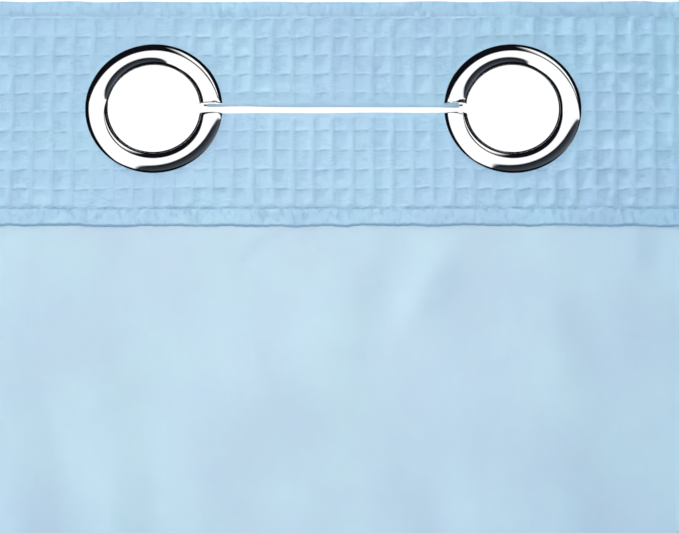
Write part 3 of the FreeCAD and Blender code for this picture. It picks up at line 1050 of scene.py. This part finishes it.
def chrome_material(name, tint):
    """Chrome plate: a mirror with the faintest haze, hairline scratches and a cool tone."""
    nodes = Nodes(bpy.data.materials.new(name))
    place = nodes.node("ShaderNodeTexCoord").outputs["Object"]
    haze = nodes.noise(place, 260.0, 3.0)
    bright = tuple(min(1.0, c * 1.03) for c in tint)
    scratches = nodes.drawn_noise(place, (4000.0, 4000.0, 220.0), 2.0)
    nodes.bump(haze, 0.002 * MM)
    nodes.set(Base_Color=nodes.ramp(haze, ((0.3, tint), (0.7, bright))), Metallic=1.0,
              Roughness=nodes.plus(nodes.times(scratches, 0.05), 0.035))
    return nodes.owner


def paint(thing, material):
    thing.data.materials.clear()
    thing.data.materials.append(material)


# ---------------- assemble the object
def build_object():
    """All the pieces, each with its material; the rings and the end spans on their bodies, and the CAD
    nodes that the pieces replace hidden.
    """
    waffle_cloth = waffle_material()
    smooth_cloth = smooth_material()
    interfacing = interfacing_material()
    thread = thread_material()
    for kind, section, facing, tint in (("front", front_section(), -1, FRONT_CHROME),
                                        ("back", back_section(), 1, BACK_CHROME)):
        chrome = chrome_material(f"chrome_{kind}", tint)
        for number in range(1, RING_COUNT + 1):
            ring = split_ring(f"split_ring_{kind}_{number:02d}", number, section, facing)
            paint(ring, chrome)
            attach(ring, f"panel_{number:02d}")
            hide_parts(f"ring_{kind}_{number:02d}")
    for number in range(0, RING_COUNT + 1):
        ring = f"split_ring_front_{max(number, 1):02d}"
        header = header_span(number)
        strip = stiffener_span(number)
        curtain = cloth_span(number)
        hem = bottom_hem_span(number)
        threads = header_stitches(number)
        hem_threads = hem_stitches(number)
        pieces = [(header, waffle_cloth, "waffle_cloth"), (strip, interfacing, "interfacing"),
                  (curtain, smooth_cloth, "smooth_cloth"), (hem, smooth_cloth, "smooth_cloth"),
                  (threads, thread, "waffle_cloth"), (hem_threads, thread, "smooth_cloth")]
        if number in (0, RING_COUNT):
            edge = side_hem(number)
            pieces.append((edge, smooth_cloth, "smooth_cloth"))
        for thing, material, slot in pieces:
            paint(thing, material)
            ride_or_bend(thing, number)
        if number > 0:
            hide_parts(f"header_band_{number:02d}")
            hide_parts(f"header_stiffener_{number:02d}")
            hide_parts(f"curtain_cloth_{number:02d}")


# ---------------- studio
CAMERA_PITCH = math.radians(18.0)
CAMERA_DISTANCE = 2.2
VIEW_WIDTH = 281.7
SENSOR_WIDTH = 36.0
AIM = Vector((PAIR_MIDDLE + 2.6, 0, -68.95)) * MM
LIT_SPOT = AIM + Vector((-34, 0, 10)) * MM
FLOOR_REACH = 30000.0
FLOOR_GAP = 30.0
SOFT_LIGHT = (0.243, 0.318, 0.402)
BACKDROP = (0.95, 0.95, 0.95)
DAYLIGHT = (0.94, 1.0, 0.98)
LAMPLIGHT = (1.0, 0.74, 0.50)
ROOM_BLACK = (0.004, 0.004, 0.006)
PANEL_LEFT = 1.25  # reach of the white panel, per unit of distance
PANEL_RIGHT = 3.4
PANEL_TOP = 0.68
PANEL_FOOT = 1.15
SECOND_LEFT = 0.22  # left end of the second panel, the gap under it and its slanting end
SECOND_GAP = 0.16
SECOND_END = 2.3
WEDGE_LEAN = math.radians(-53)  # the way that the grey wedge runs, its offset, width and widening
WEDGE_OFFSET = 0.12
WEDGE_WIDTH = 0.20
WEDGE_WIDENS = 1.7
WEDGE_START = 0.06


def aim(thing, place, target):
    """Put the camera or a light in its place, turned towards the target."""
    thing.location = place
    thing.rotation_mode = "QUATERNION"
    thing.rotation_quaternion = (Vector(target) - Vector(place)).to_track_quat("-Z", "Y")


def add_camera():
    """A long lens in front of one pair of rings, a little below them."""
    data = bpy.data.cameras.new("camera")
    data.sensor_width = SENSOR_WIDTH
    data.lens = SENSOR_WIDTH * CAMERA_DISTANCE / (VIEW_WIDTH * MM)
    camera = in_scene("camera", data)
    back = Vector((0, -math.cos(CAMERA_PITCH), -math.sin(CAMERA_PITCH)))
    aim(camera, AIM + back * CAMERA_DISTANCE, AIM)
    bpy.context.scene.camera = camera


def add_light(name, place, target, size, power, colour=WHITE, spread=180):
    """A square light that shines on the cloth and isn't seen itself, in the chrome or by the camera."""
    data = bpy.data.lights.new(name, "AREA")
    data.size = size
    data.energy = power
    data.color = colour
    data.spread = math.radians(spread)
    light = in_scene(name, data)
    aim(light, place, target)
    light.visible_glossy = False
    light.visible_camera = False
    return light


def past_rings(lights):
    """Let the lights pass the rings, so that these throw no hard shadow on the cloth."""
    rings = bpy.data.collections.new("rings")
    for thing in bpy.context.scene.collection.objects:
        if thing.name.startswith("split_ring"):
            rings.objects.link(thing)
    for light in lights:
        light.light_linking.blocker_collection = rings
    for entry in rings.collection_objects:
        entry.light_linking.link_state = "EXCLUDE"


def studio_panels(nodes):
    """What the chrome reflects: a wide white panel in front and behind, with black round it.

    A second white panel stands above it on the right. A dark grey wedge, paler at its far end,
    stands in front, low on the right.
    """
    way = nodes.parts(nodes.node("ShaderNodeTexCoord").outputs["Generated"])
    depth = nodes.larger(nodes.size(way["Y"]), 0.001)
    across = nodes.math("DIVIDE", way["X"], depth)
    up = nodes.math("DIVIDE", way["Z"], depth)
    left = nodes.times(across, -1.0)
    down = nodes.times(up, -1.0)
    panel = nodes.times(nodes.inside(up, PANEL_TOP, 0.04), nodes.inside(down, PANEL_FOOT, 0.06),
                        nodes.inside(left, PANEL_LEFT, 0.10), nodes.inside(across, PANEL_RIGHT, 0.12))
    second = nodes.times(nodes.inside(left, -SECOND_LEFT, 0.10),
                         nodes.inside(down, -PANEL_TOP - SECOND_GAP, 0.04),
                         nodes.inside(nodes.plus(up, across), SECOND_END, 0.10))
    cosine, sine = math.cos(WEDGE_LEAN), math.sin(WEDGE_LEAN)
    along = nodes.plus(nodes.times(across, cosine), nodes.times(up, sine))
    aside = nodes.minus(nodes.times(up, cosine), nodes.times(across, sine))
    aside = nodes.minus(nodes.size(nodes.minus(aside, WEDGE_OFFSET)), nodes.times(along, WEDGE_WIDENS))
    wedge = nodes.times(nodes.inside(nodes.times(along, -1.0), -WEDGE_START, 0.05),
                        nodes.inside(aside, WEDGE_WIDTH, 0.08), nodes.inside(way["Y"], 0.0, 0.01))
    grey = nodes.ramp(nodes.times(along, 0.2), ((0.0, ROOM_BLACK), (0.10, (0.030, 0.037, 0.046)),
                                                (0.7, (0.20, 0.22, 0.24))))
    return nodes.mix(nodes.larger(panel, second), ROOM_BLACK, nodes.mix(wedge, WHITE, grey))


def add_world():
    """White to the camera, panels to the chrome, and soft even light to the cloth."""
    world = bpy.data.worlds.new("studio")
    bpy.context.scene.world = world
    nodes = Nodes(world)
    nodes.tree.nodes.clear()
    path = nodes.node("ShaderNodeLightPath")
    light = nodes.mix(path.outputs["Is Glossy Ray"], SOFT_LIGHT, studio_panels(nodes))
    light = nodes.mix(path.outputs["Is Camera Ray"], light, BACKDROP)
    shining = nodes.applied("ShaderNodeBackground", light, Strength=1.1)
    nodes.applied("ShaderNodeOutputWorld", shining.outputs[0])


def add_floor():
    """A plain pale floor just under the hanging curtain."""
    corners = np.array([(-1, -1, 0), (1, -1, 0), (1, 1, 0), (-1, 1, 0)]) * FLOOR_REACH
    corners = corners + (0, 0, CLOTH_FOOT - FLOOR_GAP)
    floor = in_scene("floor", smooth_mesh("floor", corners, [(0, 1, 2, 3)]))
    nodes = Nodes(bpy.data.materials.new("floor"))
    nodes.set(Base_Color=(0.80, 0.81, 0.82, 1), Roughness=0.85)
    paint(floor, nodes.owner)
    floor.visible_glossy = False


def build_studio():
    """The world, the floor, a broad key, a warm pool of light and a graze in front, and a key behind."""
    add_world()
    add_floor()
    key = add_light("key", (-1.3, -5.6, 1.6), (0, 0, -0.4), size=3.6, power=127, colour=DAYLIGHT)
    pool_place = LIT_SPOT + Vector((-0.20, -1.24, 0.26))
    pool = add_light("pool", pool_place, LIT_SPOT, size=0.35, power=0.155, colour=LAMPLIGHT, spread=22)
    graze = add_light("graze", (-2.0, -0.62, 2.1), LIT_SPOT, size=0.50, power=42)
    past_rings((key, pool, graze))
    add_light("back_key", (2.6, 4.4, 2.4), (0, 0, -0.6), size=3.0, power=200, colour=DAYLIGHT)
    bpy.context.scene.view_settings.view_transform = "Standard"


build_object()
build_studio()
add_camera()
